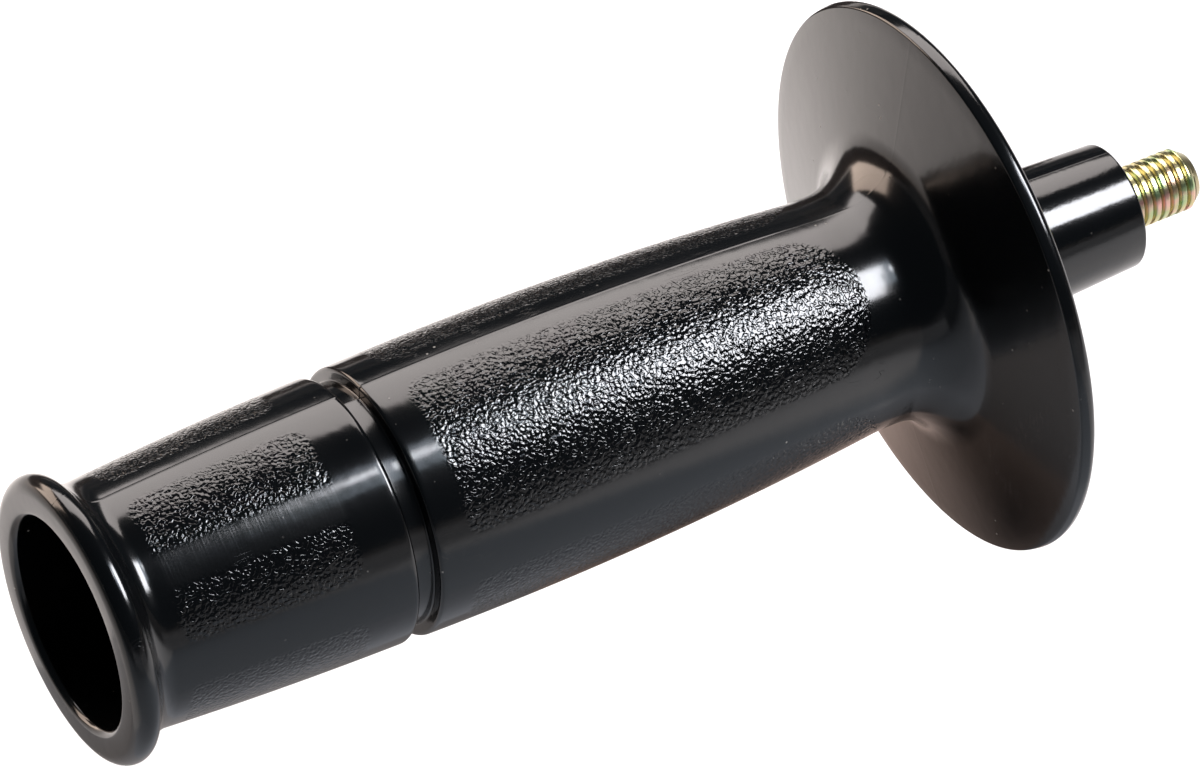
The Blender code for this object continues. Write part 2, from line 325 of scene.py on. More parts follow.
class SideHandleStageSettings(bpy.types.PropertyGroup):
    """Camera, floor and lamps."""

    azimuth: angle_property("Azimuth", "Camera's turn round the handle", -30.2)
    elevation: angle_property("Elevation", "Camera's height above the horizon", 43.41)
    distance: length_property("Distance", "From the camera to the point that it looks at", 1.168)
    aim: FloatVectorProperty(
        name="Aim",
        description="Point that the camera looks at",
        default=(-0.06243, 0.01873, -0.01589),
        size=3,
        subtype="TRANSLATION",
        unit="LENGTH",
    )
    lens: FloatProperty(
        name="Lens", description="Focal length on a 36 mm sensor", default=283.3, unit="CAMERA"
    )
    floor_drop: length_property("Floor Drop", "From the axis down to the floor", 0.11)
    floor: colour_property("Floor", "Colour of the floor", (0.80, 0.79, 0.78))
    floor_front_shade: colour_property("Floor Front Shade", "Colour of the floor's near side", (0.41, 0.45, 0.49))
    # painted shade: the floor's near side darker, for what the handle mirrors and the light bouncing
    # from it
    floor_seen: colour_property("Floor Seen", "Colour of the floor in view", (0.90, 0.93, 0.95))
    # painted shade: the dark tint in the middle of the handle's painted shadow and all over the card
    # behind it
    card: colour_property("Card", "Colour of the dark cards", (0.055, 0.046, 0.043))
    surround: colour_property("Surround", "Colour of the dark studio", (0.035, 0.042, 0.050))
    key: brightness_property("Key", "Brightness of the key softbox", 20.0)
    back: brightness_property("Back", "Brightness of the back softbox", 4.1)
    low: brightness_property("Low", "Brightness of the low softbox", 3.9)
    front: brightness_property("Front", "Brightness of the front softbox", 0.27)
    skirt: brightness_property("Skirt", "Brightness below the key softbox", 2.8)
    glint: brightness_property("Glint", "Brightness of the small softbox", 17.0)
    rear: brightness_property("Rear", "Brightness of the lamp over the floor", 2.1)


def arc(centre, radius, start, end, steps):
    """Points on an arc of an outline, both ends included."""
    angles = [start + (end - start) * i / steps for i in range(steps + 1)]
    return [centre + radius * Vector((math.cos(a), math.sin(a))) for a in angles]


def direction(from_point, to_point):
    """The angle of one outline point as seen from another."""
    offset = to_point - from_point
    return math.atan2(offset.y, offset.x)


def short_arc(centre, radius, first, last, step):
    """The arc from one point to another, the short way round."""
    start = direction(centre, first)
    turn = (direction(centre, last) - start + math.pi) % (2 * math.pi) - math.pi
    return arc(centre, radius, start, start + turn, max(1, math.ceil(abs(turn) / step)))


def rounded(before, corner, after, radius):
    """A straight-sided corner with its point rounded off."""
    to_before = (before - corner).normalized()
    to_after = (after - corner).normalized()
    half_angle = to_before.angle(to_after) / 2
    reach = radius / math.tan(half_angle)
    centre = corner + (to_before + to_after).normalized() * (radius / math.sin(half_angle))
    return short_arc(
        centre, radius, corner + to_before * reach, corner + to_after * reach, EDGE_STEP
    )


def straight(first, last, rows):
    """Points strictly between two outline points."""
    return [first.lerp(last, i / rows) for i in range(1, rows)]


def line_meeting(point_a, heading_a, point_b, heading_b):
    """Where two lines cross."""
    step = (point_b - point_a).cross(heading_b) / heading_a.cross(heading_b)
    return point_a + heading_a * step


def circle_meeting(centre_a, radius_a, centre_b, radius_b):
    """The higher of the two points where two circles cross."""
    offset = centre_b - centre_a
    span = offset.length
    along = (span**2 + radius_a**2 - radius_b**2) / (2 * span)
    aside = math.sqrt(radius_a**2 - along**2)
    middle = centre_a + offset * (along / span)
    across = Vector((-offset.y, offset.x)) * (aside / span)
    return max(middle + across, middle - across, key=lambda p: p.y)


class BodyOutline:
    """The body's outline, worked out from its settings in stretches."""

    def __init__(self, s):
        self.s = s
        self.rim_back = -(s.guard_setback + s.guard_rim)
        self.groove_top = self.rim_back - s.front_length
        self.groove_bottom = self.groove_top - s.groove_width
        self.open_end = body_low.x
        self.rear_radius = s.front_grip - s.rear_step
        self.groove_radius = s.front_grip - s.groove_depth
        self.bead_radius = self.rear_radius + s.bead_height
        self.mouth = self.bead_radius - s.mouth_wall
        self.front_centre = Vector((s.front_grip - s.front_sweep, self.groove_top + s.front_swell))
        self.rear_centre = Vector(
            (self.rear_radius - s.rear_sweep, self.groove_bottom + s.rear_swell)
        )

    def on_grip(self, centre, sweep, height):
        """The point of a grip's arc at a height."""
        return Vector((centre.x + math.sqrt(sweep**2 - (height - centre.y) ** 2), height))

    def grip(self, centre, sweep, upper, lower):
        """Points strictly inside a grip's arc, in rows close enough for the patches' borders."""
        rows = math.ceil((upper.y - lower.y) / GRIP_ROW)
        return arc(centre, sweep, direction(centre, upper), direction(centre, lower), rows)[1:-1]

    def boss_and_guard(self):
        """From the bolt hole over the boss, the guard and the neck to the front grip."""
        s = self.s
        boss_top = Vector((s.boss_radius, 0.0))
        boss_heading = Vector((math.sin(s.boss_draft), -math.cos(s.boss_draft)))
        rim_front = Vector((s.guard_radius, -s.guard_setback))
        rim_back = Vector((s.guard_radius - s.guard_rim * math.tan(s.rim_draft), self.rim_back))
        slope = s.guard_dish - s.guard_draft
        inward = Vector((-math.cos(slope), -math.sin(slope)))
        boss_root = line_meeting(boss_top, boss_heading, rim_front, inward)
        back_inward = Vector((-math.cos(s.guard_dish), -math.sin(s.guard_dish)))
        back_normal = Vector((math.sin(s.guard_dish), -math.cos(s.guard_dish)))
        on_grip = self.on_grip(self.front_centre, s.front_sweep, -s.neck_start)
        ease = on_grip + (on_grip - self.front_centre).normalized() * s.neck_ease
        start = rim_back + back_normal * s.neck_fillet
        offset = start - ease
        reach = s.neck_ease - s.neck_fillet
        half = offset.dot(back_inward)
        travel = -half + math.sqrt(half**2 - offset.length_squared + reach**2)
        neck = start + back_inward * travel
        on_guard = neck - back_normal * s.neck_fillet
        between = ease + (neck - ease) * (s.neck_ease / reach)
        hole = Vector((s.bolt_hole, 0.0))
        end = rounded(hole, boss_top, boss_root, s.boss_edge)
        root = rounded(boss_top, boss_root, rim_front, s.boss_root)
        front_edge = rounded(boss_root, rim_front, rim_back, s.guard_edge)
        back_edge = rounded(rim_front, rim_back, on_guard, s.rim_edge)
        sweep = short_arc(neck, s.neck_fillet, on_guard, between, SWEEP_STEP)
        sweep += short_arc(ease, s.neck_ease, between, on_grip, EASE_STEP)[1:]
        points = end + straight(end[-1], root[0], WALL_ROWS)
        points += root + straight(root[-1], front_edge[0], WALL_ROWS)
        points += front_edge + back_edge
        return points + straight(back_edge[-1], sweep[0], WALL_ROWS) + sweep

    def groove(self):
        """The ring groove with its rounded edges."""
        s = self.s
        front_end = self.on_grip(self.front_centre, s.front_sweep, self.groove_top)
        rear_end = self.on_grip(self.rear_centre, s.rear_sweep, self.groove_bottom)
        above = self.on_grip(self.front_centre, s.front_sweep, self.groove_top + s.front_edge)
        below = self.on_grip(self.rear_centre, s.rear_sweep, self.groove_bottom - s.rear_edge)
        upper_foot = Vector((self.groove_radius, self.groove_top))
        lower_foot = Vector((self.groove_radius, self.groove_bottom))
        points = rounded(above, front_end, upper_foot, s.front_edge)
        points += rounded(front_end, upper_foot, lower_foot, s.groove_foot)
        points += rounded(upper_foot, lower_foot, rear_end, s.groove_foot)
        return points + rounded(lower_foot, rear_end, below, s.rear_edge)

    def bead(self):
        """The rolled bead, from the rear grip round to the open end's face."""
        s = self.s
        centre = Vector((self.bead_radius - s.bead_round, self.open_end + s.bead_round))
        root = circle_meeting(
            centre, s.bead_round + s.bead_root, self.rear_centre, s.rear_sweep + s.bead_root
        )
        on_grip = root + (self.rear_centre - root).normalized() * s.bead_root
        on_bead = centre + (root - centre).normalized() * s.bead_round
        on_face = centre - Vector((0.0, s.bead_round))
        points = short_arc(root, s.bead_root, on_grip, on_bead, SWEEP_STEP)
        return points + short_arc(centre, s.bead_round, on_bead, on_face, BEAD_STEP)

    def hollow(self, face_start):
        """The mouth, the hollow's wall and its floor as far as the pocket."""
        s = self.s
        floor = -s.floor_depth
        floor_radius = self.mouth - (floor - self.open_end) * math.tan(s.hollow_draft)
        mouth = Vector((self.mouth, self.open_end))
        corner = Vector((floor_radius, floor))
        lip = rounded(face_start, mouth, corner, s.mouth_lip)
        foot = rounded(mouth, corner, Vector((0.0, floor)), s.floor_fillet)
        face = straight(face_start, lip[0], FACE_ROWS)
        return face + lip + straight(lip[-1], foot[0], WALL_ROWS) + foot

    def outside(self):
        """The outline from the bolt hole's edge down to the open end's face."""
        top = self.boss_and_guard()
        groove = self.groove()
        bottom = self.bead()
        front = self.grip(self.front_centre, self.s.front_sweep, top[-1], groove[0])
        rear = self.grip(self.rear_centre, self.s.rear_sweep, groove[-1], bottom[0])
        return top + front + groove + rear + bottom


def hexagon(apothem, angles):
    """The radius of a hexagon's outline at each angle, with a corner straight up."""
    sector = 2 * math.pi / HEX_SIDES
    return apothem / np.cos((angles % sector) - sector / 2)


def swept_mesh(name, heights, radii, angles, closed, seam_rows=None):
    """A mesh of rows and columns round X. A closed one joins its last row to its first.

    The seam rows say which row of the first column each row of the last column meets.
    """
    rows, columns = radii.shape
    x = np.broadcast_to(heights, radii.shape)
    y = -radii * np.sin(angles)
    z = radii * np.cos(angles)
    points = np.stack([x, y, z], axis=-1).reshape(-1, 3)
    last = rows if closed else rows - 1
    if seam_rows is None:
        seam_rows = np.arange(rows)
    upper = np.arange(last)[:, None]
    lower = np.arange(1, last + 1)[:, None] % rows
    left = np.arange(columns)[None, :]
    at_seam = left == columns - 1
    upper_right = np.where(at_seam, seam_rows[upper] * columns, upper * columns + left + 1)
    lower_right = np.where(at_seam, seam_rows[lower] * columns, lower * columns + left + 1)
    corners = [upper * columns + left, upper_right, lower_right, lower * columns + left]
    corners = np.stack(corners, axis=-1).reshape(-1, 4)
    faces = [list(dict.fromkeys(face)) for face in corners.tolist()]
    if not closed:
        faces.append(list(range(columns))[::-1])
        faces.append(list(range((rows - 1) * columns, rows * columns)))
    mesh = bpy.data.meshes.new(name)
    mesh.from_pydata(points.tolist(), [], faces)
    return mesh


def set_attribute(mesh, name, values):
    """A value for each point, which the materials read by its name."""
    layer = mesh.attributes.new(name, "FLOAT", "POINT")
    layer.data.foreach_set("value", np.ascontiguousarray(values.reshape(-1), dtype=np.float32))


def finish_mesh(mesh):
    """Welds what coincides, turns the faces out and keeps only the real edges sharp."""
    work = bmesh.new()
    work.from_mesh(mesh)
    bmesh.ops.remove_doubles(work, verts=work.verts, dist=MERGE_DISTANCE)
    bmesh.ops.dissolve_degenerate(work, edges=work.edges, dist=MERGE_DISTANCE)
    bmesh.ops.recalc_face_normals(work, faces=work.faces)
    work.to_mesh(mesh)
    work.free()
    mesh.shade_smooth()
    mesh.set_sharp_from_angle(angle=CREASE_ANGLE)
    mesh.validate()


def new_object(name, data):
    """An object in the scene that shows a mesh, a lamp or a camera."""
    made = bpy.data.objects.new(name, data)
    bpy.context.scene.collection.objects.link(made)
    return made


def new_piece(name, mesh, material, node):
    """A piece that stands for a node of the frame."""
    piece = new_object(name, mesh)
    piece.data.materials.append(material)
    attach(piece, "root")
    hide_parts(node)
    return piece


def turn_difference(angles, angle):
    """How far each angle lies from one angle, the short way round."""
    return (angles - angle + math.pi) % (2 * math.pi) - math.pi


def smooth_step(distance, width):
    """From 0 outside a border to 1 inside it."""
    share = np.clip(distance / width, 0.0, 1.0)
    return share * share * (3 - 2 * share)


def body_columns():
    """Even columns, with extra ones beside the mould line and its opposite."""
    even = [2 * math.pi * i / BODY_COLUMNS for i in range(BODY_COLUMNS)]
    for line in (MOULD_LINE_ANGLE, MOULD_LINE_ANGLE + math.pi):
        even += [(line + offset) % (2 * math.pi) for offset in MOULD_LINE_COLUMNS]
    return np.array(sorted(even))


def inside_corner(across, along):
    """How far each point lies inside a patch's rounded corner."""
    return PATCH_CORNER - np.hypot(
        np.clip(PATCH_CORNER - across, 0, None), np.clip(PATCH_CORNER - along, 0, None)
    )


def patch_inside(heights, angles, radii, ends, nose):
    """How far each point lies inside a grain patch's border, for all four patches of a grip."""
    best = np.full(radii.shape, -1.0)
    rear, front = ends
    half_width = PATCH_HALF_ANGLE * radii
    for offset in PATCH_OFFSETS:
        aside = np.abs(turn_difference(angles, MOULD_LINE_ANGLE + offset)) * radii
        across = half_width - aside
        share = np.clip(aside / half_width, 0.0, 1.0)
        ahead = front - nose * (1 - np.sqrt(1 - share**2)) - heights
        behind = heights - rear
        corner = inside_corner(across, behind)
        inside = np.minimum(np.minimum(across, behind), np.minimum(ahead, corner))
        if nose == 0.0:
            inside = np.minimum(inside, inside_corner(across, ahead))
        best = np.maximum(best, inside)
    return best


def grain_cover(heights, angles, radii):
    """1 where the surface is pebbled and 0 where it is smooth, and the buffed strip's cover."""
    front = patch_inside(heights, angles, radii, FRONT_PATCH, FRONT_PATCH_NOSE)
    front = smooth_step(front, PATCH_BORDER)
    rear = smooth_step(patch_inside(heights, angles, radii, REAR_PATCH, 0.0), PATCH_BORDER)
    aside = np.abs(turn_difference(angles, STRIP_ANGLE))
    strip = smooth_step((STRIP_HALF_ANGLE - aside) * radii, PATCH_BORDER)
    behind_groove = heights < FRONT_PATCH[0]
    return np.maximum(front, rear * (1 - strip)), strip * rear * behind_groove


def unit_rows(vectors):
    """Each row of an array at a length of 1."""
    return vectors / np.maximum(np.linalg.norm(vectors, axis=1, keepdims=True), TINY_LENGTH)


def outline_normals(points):
    """The outward direction at each point of an outline that runs down its outer side."""
    ahead = unit_rows(np.roll(points, -1, axis=0) - points)
    behind = unit_rows(points - np.roll(points, 1, axis=0))
    along = unit_rows(ahead + behind)
    return np.stack([-along[:, 1], along[:, 0]], axis=1)


def body_mesh(s):
    """The body's mesh, with the mould line in its shape and the patches marked on its points."""
    outline = BodyOutline(s)
    outside = outline.outside()
    inside = outline.hollow(outside[-1])
    angles = body_columns()
    points = np.array([tuple(p) for p in outside + inside])
    heights = points[:, 1:2] * np.ones_like(angles)
    radii = points[:, 0:1] * np.ones_like(angles)

    grain, buffed = grain_cover(heights, angles, radii)
    shown = (np.arange(len(points)) < len(outside))[:, None]
    lines = [turn_difference(angles, MOULD_LINE_ANGLE + turn) for turn in (0.0, math.pi)]
    ridge = sum(np.exp(-((offset / MOULD_LINE_SPREAD) ** 2)) for offset in lines)
    on_grip = smooth_step(NECK_LIMIT - heights, NECK_FADE)
    on_grip = on_grip * smooth_step(heights - BEAD_LIMIT, BEAD_FADE)
    rise = shown * s.mould_line * ridge * (NECK_SHARE + (1 - NECK_SHARE) * on_grip)
    normals = outline_normals(points)
    radii = radii + rise * normals[:, 0:1]
    heights = heights + rise * normals[:, 1:2]

    flats = s.pocket_flats / 2
    floor, end = -s.floor_depth, -s.pocket_depth
    pocket = (
        (hexagon(flats + s.pocket_edge, angles), floor),
        (hexagon(flats, angles), floor + s.pocket_edge),
        (hexagon(flats, angles), end),
        (np.full(len(angles), s.bolt_hole), end),
        (np.full(len(angles), s.bolt_hole), 0.0),
    )
    radii = np.vstack([radii] + [row for row, height in pocket])
    heights = np.vstack([heights] + [np.full(len(angles), height) for row, height in pocket])
    smooth_rows = np.zeros((len(pocket), len(angles)))
    mesh = swept_mesh("moulded_body", heights, radii, angles, True)
    set_attribute(mesh, "grain", np.vstack([grain * shown, smooth_rows]))
    set_attribute(mesh, "buffed", np.vstack([buffed * shown, smooth_rows]))
    finish_mesh(mesh)
    return mesh


def thread_height(phase, crest, root):
    """The thread's section: 1 on its crest, 0 in its root, with straight flanks between."""
    away = np.abs((phase % 1.0) - 0.5) * 2
    return np.clip((away - root) / (1 - crest - root), 0.0, 1.0)


def bolt_mesh(s):
    """The bolt's mesh, from its tip down: thread, plain shank and head."""
    angles = 2 * math.pi * np.arange(BOLT_COLUMNS) / BOLT_COLUMNS
    tip = bolt_high.x
    head_top = bolt_low.x
    seat = head_top + s.head_height
    rows = math.ceil(s.thread_length / s.pitch * THREAD_ROWS)
    lead = s.pitch * angles / (2 * math.pi)
    ramp = np.arange(-THREAD_ROWS, rows)[:, None] / THREAD_ROWS
    heights = tip - ramp * s.pitch - lead
    cut = s.depth * (1 - thread_height(ramp + np.zeros_like(lead), s.crest, s.root))
    thread_end = tip - s.thread_length
    cut = cut * smooth_step(heights - thread_end, RUN_OUT_TURNS * s.pitch)
    radii = s.radius - cut
    slope = s.tip_depth / s.tip_length
    inside_tip = np.minimum(heights, tip)
    radii = np.minimum(radii, s.radius - s.tip_depth + (tip - inside_tip) * slope)
    depth_share = (s.radius - radii) / s.depth

    half_flats = s.head_flats / 2
    flats = hexagon(half_flats, angles)
    corner = half_flats / math.cos(math.pi / HEX_SIDES)
    chamfer_slope = math.tan(s.head_chamfer)
    chamfer = (corner - half_flats) * chamfer_slope * CHAMFER_REACH
    plain = np.full(BOLT_COLUMNS, s.radius)
    washer = np.full(BOLT_COLUMNS, half_flats * WASHER_SHARE)
    under = seat - s.washer_face
    head_rows = [(plain, seat), (washer, seat), (washer, under), (flats, under)]
    for step in range(CHAMFER_ROWS, -1, -1):
        height = head_top + step / CHAMFER_ROWS * chamfer
        limit = half_flats + (height - head_top) / chamfer_slope
        head_rows.append((np.minimum(flats, limit), height))
    turns = np.arange(len(radii))
    below = np.arange(len(radii), len(radii) + len(head_rows))
    seam_rows = np.concatenate([np.minimum(turns + THREAD_ROWS, turns[-1]), below])
    radii = np.vstack([radii] + [row for row, height in head_rows])
    heights = np.vstack([inside_tip] + [np.full(BOLT_COLUMNS, height) for row, height in head_rows])
    depth_share = np.vstack([depth_share, np.zeros((len(head_rows), BOLT_COLUMNS))])
    mesh = swept_mesh("threaded_bolt", heights, radii, angles, False, seam_rows)
    set_attribute(mesh, "root", np.clip(depth_share, 0.0, 1.0))
    finish_mesh(mesh)
    return mesh


def new_group(name, inputs, outputs):
    """An empty shader node group with its named sockets, and its end nodes."""
    group = bpy.data.node_groups.new(name, "ShaderNodeTree")
    for socket, kind, default in inputs:
        made = group.interface.new_socket(socket, in_out="INPUT", socket_type=kind)
        if default is not None:
            made.default_value = default
    for socket, kind in outputs:
        group.interface.new_socket(socket, in_out="OUTPUT", socket_type=kind)
    return group, group.nodes.new("NodeGroupInput"), group.nodes.new("NodeGroupOutput")


def math_node(tree, operation, first, second=None):
    """A Math node between sockets or numbers, which gives its result."""
    node = tree.nodes.new("ShaderNodeMath")
    node.operation = operation
    for place, value in enumerate((first, second)):
        if value is None:
            continue
        if isinstance(value, (int, float)):
            node.inputs[place].default_value = value
        else:
            tree.links.new(value, node.inputs[place])
    return node.outputs[0]


def product(tree, first, second):
    """Two sockets or numbers multiplied."""
    return math_node(tree, "MULTIPLY", first, second)


def spread_node(tree, value, limits, new_range=(0.0, 1.0)):
    """A value between two limits spread over a new range, and held at its ends."""
    node = tree.nodes.new("ShaderNodeMapRange")
    tree.links.new(value, node.inputs["Value"])
    for socket, number in zip(("From Min", "From Max", "To Min", "To Max"), (*limits, *new_range)):
        node.inputs[socket].default_value = number
    return node.outputs["Result"]


def noise_node(tree, vector, scale, detail=2.0, stretch=None):
    """Noise over the object, drawn out along an axis where a stretch is given."""
    if stretch is not None:
        mapping = tree.nodes.new("ShaderNodeMapping")
        mapping.inputs["Scale"].default_value = stretch
        tree.links.new(vector, mapping.inputs["Vector"])
        vector = mapping.outputs["Vector"]
    noise = tree.nodes.new("ShaderNodeTexNoise")
    tree.links.new(vector, noise.inputs["Vector"])
    if isinstance(scale, (int, float)):
        noise.inputs["Scale"].default_value = scale
    else:
        tree.links.new(scale, noise.inputs["Scale"])
    noise.inputs["Detail"].default_value = detail
    return noise.outputs["Fac"]


def from_middle(tree, noise):
    """How far a noise lies from its middle value, which it crosses along winding lines."""
    return math_node(tree, "ABSOLUTE", math_node(tree, "SUBTRACT", noise, 0.5))


def mix_colour(tree, share, first, second):
    """Two colours mixed by a mask."""
    node = tree.nodes.new("ShaderNodeMix")
    node.data_type = "RGBA"
    tree.links.new(share, node.inputs["Factor"])
    for place, value in ((MIX_FIRST, first), (MIX_SECOND, second)):
        if isinstance(value, bpy.types.NodeSocket):
            tree.links.new(value, node.inputs[place])
        else:
            node.inputs[place].default_value = (*value, 1.0)
    return node.outputs[MIX_RESULT]


def pebble_grain_group():
    """Pebbles of moulded grain: their height, from 0 in the valleys to 1 on top."""
    group, start, end = new_group(
        "Pebble Grain",
        (("Vector", "NodeSocketVector", None), ("Size", "NodeSocketFloat", 0.0009)),
        (("Height", "NodeSocketFloat"),),
    )
    scale = math_node(group, "DIVIDE", 1.0, start.outputs["Size"])
    pebbles = noise_node(group, start.outputs["Vector"], scale, detail=0.0)
    tops = spread_node(group, pebbles, PEBBLE_RANGE)
    shifted = group.nodes.new("ShaderNodeMapping")
    shifted.inputs["Location"].default_value = CREASE_SHIFT
    group.links.new(start.outputs["Vector"], shifted.inputs["Vector"])
    crease_scale = product(group, scale, CREASE_SCALE)
    winding = noise_node(group, shifted.outputs["Vector"], crease_scale, detail=0.0)
    near = spread_node(group, from_middle(group, winding), (CREASE_WIDTH, 0.0))
    crease = math_node(group, "POWER", near, CREASE_POWER)
    height = math_node(group, "SUBTRACT", tops, product(group, crease, CREASE_DEPTH))
    group.links.new(height, end.inputs["Height"])
    return group


def fine_wear_group():
    """Small marks of handling: specks of dust, hairline scratches and a slow cloudiness."""
    group, start, end = new_group(
        "Fine Wear",
        (("Vector", "NodeSocketVector", None), ("Speck Size", "NodeSocketFloat", 0.0012)),
        (("Specks", "NodeSocketFloat"), ("Scratches", "NodeSocketFloat"), ("Cloud", "NodeSocketFloat")),
    )
    vector = start.outputs["Vector"]
    cells = group.nodes.new("ShaderNodeTexVoronoi")
    group.links.new(vector, cells.inputs["Vector"])
    group.links.new(math_node(group, "DIVIDE", 1.0, start.outputs["Speck Size"]), cells.inputs["Scale"])
    spot = spread_node(group, cells.outputs["Distance"], SPECK_RANGE)
    pick = spread_node(group, noise_node(group, vector, SPECK_SCALE, detail=3.0), SPECK_PICK)
    group.links.new(product(group, spot, pick), end.inputs["Specks"])

    marks = noise_node(group, vector, 1.0, detail=1.0, stretch=SCRATCH_STRETCH)
    hair = spread_node(group, from_middle(group, marks), (SCRATCH_WIDTH, 0.0))
    place = spread_node(group, noise_node(group, vector, SCRATCH_SCALE), SCRATCH_PICK)
    group.links.new(product(group, hair, place), end.inputs["Scratches"])
    group.links.new(noise_node(group, vector, CLOUD_SCALE, detail=3.0), end.inputs["Cloud"])
    return group


def shared_wear_group():
    """The wear group, built once for both materials."""
    return bpy.data.node_groups.get("Fine Wear") or fine_wear_group()


def place_group(tree, group, vector, **values):
    """A group placed in a material with its own values."""
    node = tree.nodes.new("ShaderNodeGroup")
    node.node_tree = group
    tree.links.new(vector, node.inputs["Vector"])
    for socket, value in values.items():
        node.inputs[socket.replace("_", " ")].default_value = value
    return node


def attribute_node(tree, name):
    """A value that was set on the mesh's points."""
    node = tree.nodes.new("ShaderNodeAttribute")
    node.attribute_name = name
    return node.outputs["Fac"]


def bump_node(tree, height, distance, normal=None):
    """A bump of a depth in metres, on top of another one where that is given."""
    node = tree.nodes.new("ShaderNodeBump")
    node.inputs["Distance"].default_value = distance
    tree.links.new(height, node.inputs["Height"])
    if normal is not None:
        tree.links.new(normal, node.inputs["Normal"])
    return node.outputs["Normal"]


def new_material(name):
    """An empty principled material, with its tree, shader and object coordinates."""
    material = bpy.data.materials.new(name)
    material.use_nodes = True
    tree = material.node_tree
    shader = tree.nodes["Principled BSDF"]
    coordinates = tree.nodes.new("ShaderNodeTexCoord").outputs["Object"]
    return material, tree, shader, coordinates


def cloudy_roughness(tree, wear, roughness, change):
    """A roughness that drifts slowly between two changes to it."""
    new_range = (roughness + change[0], roughness + change[1])
    return spread_node(tree, wear.outputs["Cloud"], CLOUD_RANGE, new_range)


def moulding_material(finish, grain_group, wear_group):
    """Glossy black moulding: pebbled patches, a buffed strip, orange peel, dust and scratches."""
    material, tree, shader, coordinates = new_material("glossy_black_moulding")
    grain_mask = attribute_node(tree, "grain")
    buffed = attribute_node(tree, "buffed")
    pebbles = place_group(tree, grain_group, coordinates, Size=finish.grain_size)
    wear = place_group(tree, wear_group, coordinates, Speck_Size=MOULDING_SPECK)
    smooth = math_node(tree, "SUBTRACT", 1.0, grain_mask)
    specks = product(tree, wear.outputs["Specks"], smooth)
    scratches = product(tree, wear.outputs["Scratches"], smooth)
    marks = math_node(tree, "MAXIMUM", specks, product(tree, scratches, SCRATCH_SHARE))
    colour = mix_colour(tree, marks, finish.moulding, finish.moulding_dust)
    tree.links.new(colour, shader.inputs["Base Color"])

    rough = cloudy_roughness(tree, wear, finish.moulding_roughness, MOULDING_CLOUD)
    rough = math_node(tree, "ADD", rough, product(tree, buffed, BUFFED_ROUGHNESS))
    rough = math_node(tree, "SUBTRACT", rough, product(tree, grain_mask, GRAIN_ROUGHNESS))
    rough = math_node(tree, "ADD", rough, product(tree, marks, MARK_ROUGHNESS))
    tree.links.new(rough, shader.inputs["Roughness"])

    level = math_node(tree, "SUBTRACT", pebbles.outputs["Height"], 0.5)
    grain = bump_node(tree, product(tree, level, grain_mask), finish.grain_depth)
    place = tree.nodes.new("ShaderNodeSeparateXYZ")
    tree.links.new(coordinates, place.inputs["Vector"])
    amount = spread_node(tree, place.outputs["X"], RIPPLE_PLACE, RIPPLE_AMOUNT)
    ripple = product(tree, noise_node(tree, coordinates, RIPPLE_SCALE, detail=1.0), amount)
    waviness = math_node(tree, "ADD", noise_node(tree, coordinates, PEEL_SCALE, detail=1.0), ripple)
    peel = bump_node(tree, waviness, PEEL_DEPTH, grain)
    strokes = noise_node(tree, coordinates, 1.0, detail=3.0, stretch=BRUSH_STRETCH)
    brush = bump_node(tree, product(tree, strokes, buffed), BRUSH_DEPTH, peel)
    dusty = bump_node(tree, math_node(tree, "SUBTRACT", specks, scratches), DUST_DEPTH, brush)
    tree.links.new(dusty, shader.inputs["Normal"])
    shader.inputs["IOR"].default_value = MOULDING_IOR
    return material


def zinc_material(finish, wear_group):
    """Yellow zinc plating: gold with green and pink tints, with painted shade darkening the thread's
    root.
    """
    material, tree, shader, coordinates = new_material("yellow_zinc_plating")
    wear = place_group(tree, wear_group, coordinates, Speck_Size=ZINC_SPECK)
    green = spread_node(tree, noise_node(tree, coordinates, GREEN_SCALE), GREEN_RANGE)
    pink = spread_node(tree, noise_node(tree, coordinates, PINK_SCALE, stretch=PINK_STRETCH), PINK_RANGE)
    colour = mix_colour(tree, green, finish.zinc_gold, finish.zinc_green)
    colour = mix_colour(tree, pink, colour, finish.zinc_pink)
    # painted shade in the thread's root, darker where the thread cuts deeper
    root = spread_node(tree, attribute_node(tree, "root"), ROOT_SHADE_RANGE, (0.0, ROOT_SHADE_SHARE))
    colour = mix_colour(tree, root, colour, finish.zinc_root_shade)
    tree.links.new(colour, shader.inputs["Base Color"])
    shader.inputs["Metallic"].default_value = 1.0
    rough = cloudy_roughness(tree, wear, finish.zinc_roughness, ZINC_CLOUD)
    tree.links.new(rough, shader.inputs["Roughness"])
    fine = noise_node(tree, coordinates, PLATING_SCALE)
    tree.links.new(bump_node(tree, fine, PLATING_DEPTH), shader.inputs["Normal"])
    return material


def make_matt(shader):
    """Takes the shine off a shader."""
    shader.inputs["Roughness"].default_value = MATT_ROUGHNESS
    shader.inputs["Specular IOR Level"].default_value = 0.0


def floor_material(behind, near_side_shade, seen_colour):
    """Plain pale paper with painted shade on its near side, which the handle mirrors; the camera sees it
    evenly pale.
    """
    material, tree, shader, coordinates = new_material("plain_floor")
    parts = tree.nodes.new("ShaderNodeSeparateXYZ")
    tree.links.new(coordinates, parts.inputs["Vector"])
    # painted shade on the near side, seen only by rays that are not the camera's
    nearer = spread_node(tree, parts.outputs["Y"], NEAR_SIDE_Y)
    share = product(tree, nearer, spread_node(tree, parts.outputs["X"], NEAR_SIDE_X))
    seen = tree.nodes.new("ShaderNodeLightPath").outputs["Is Camera Ray"]
    mirrored = mix_colour(tree, share, behind, near_side_shade)
    tree.links.new(mix_colour(tree, seen, mirrored, seen_colour), shader.inputs["Base Color"])
    make_matt(shader)
    return material


def around_axis(swing, lean):
    """A direction by its swing from straight up towards -Y and its lean from the thread's way."""
    return Vector((math.cos(lean), -math.sin(lean) * math.sin(swing), math.sin(lean) * math.cos(swing)))


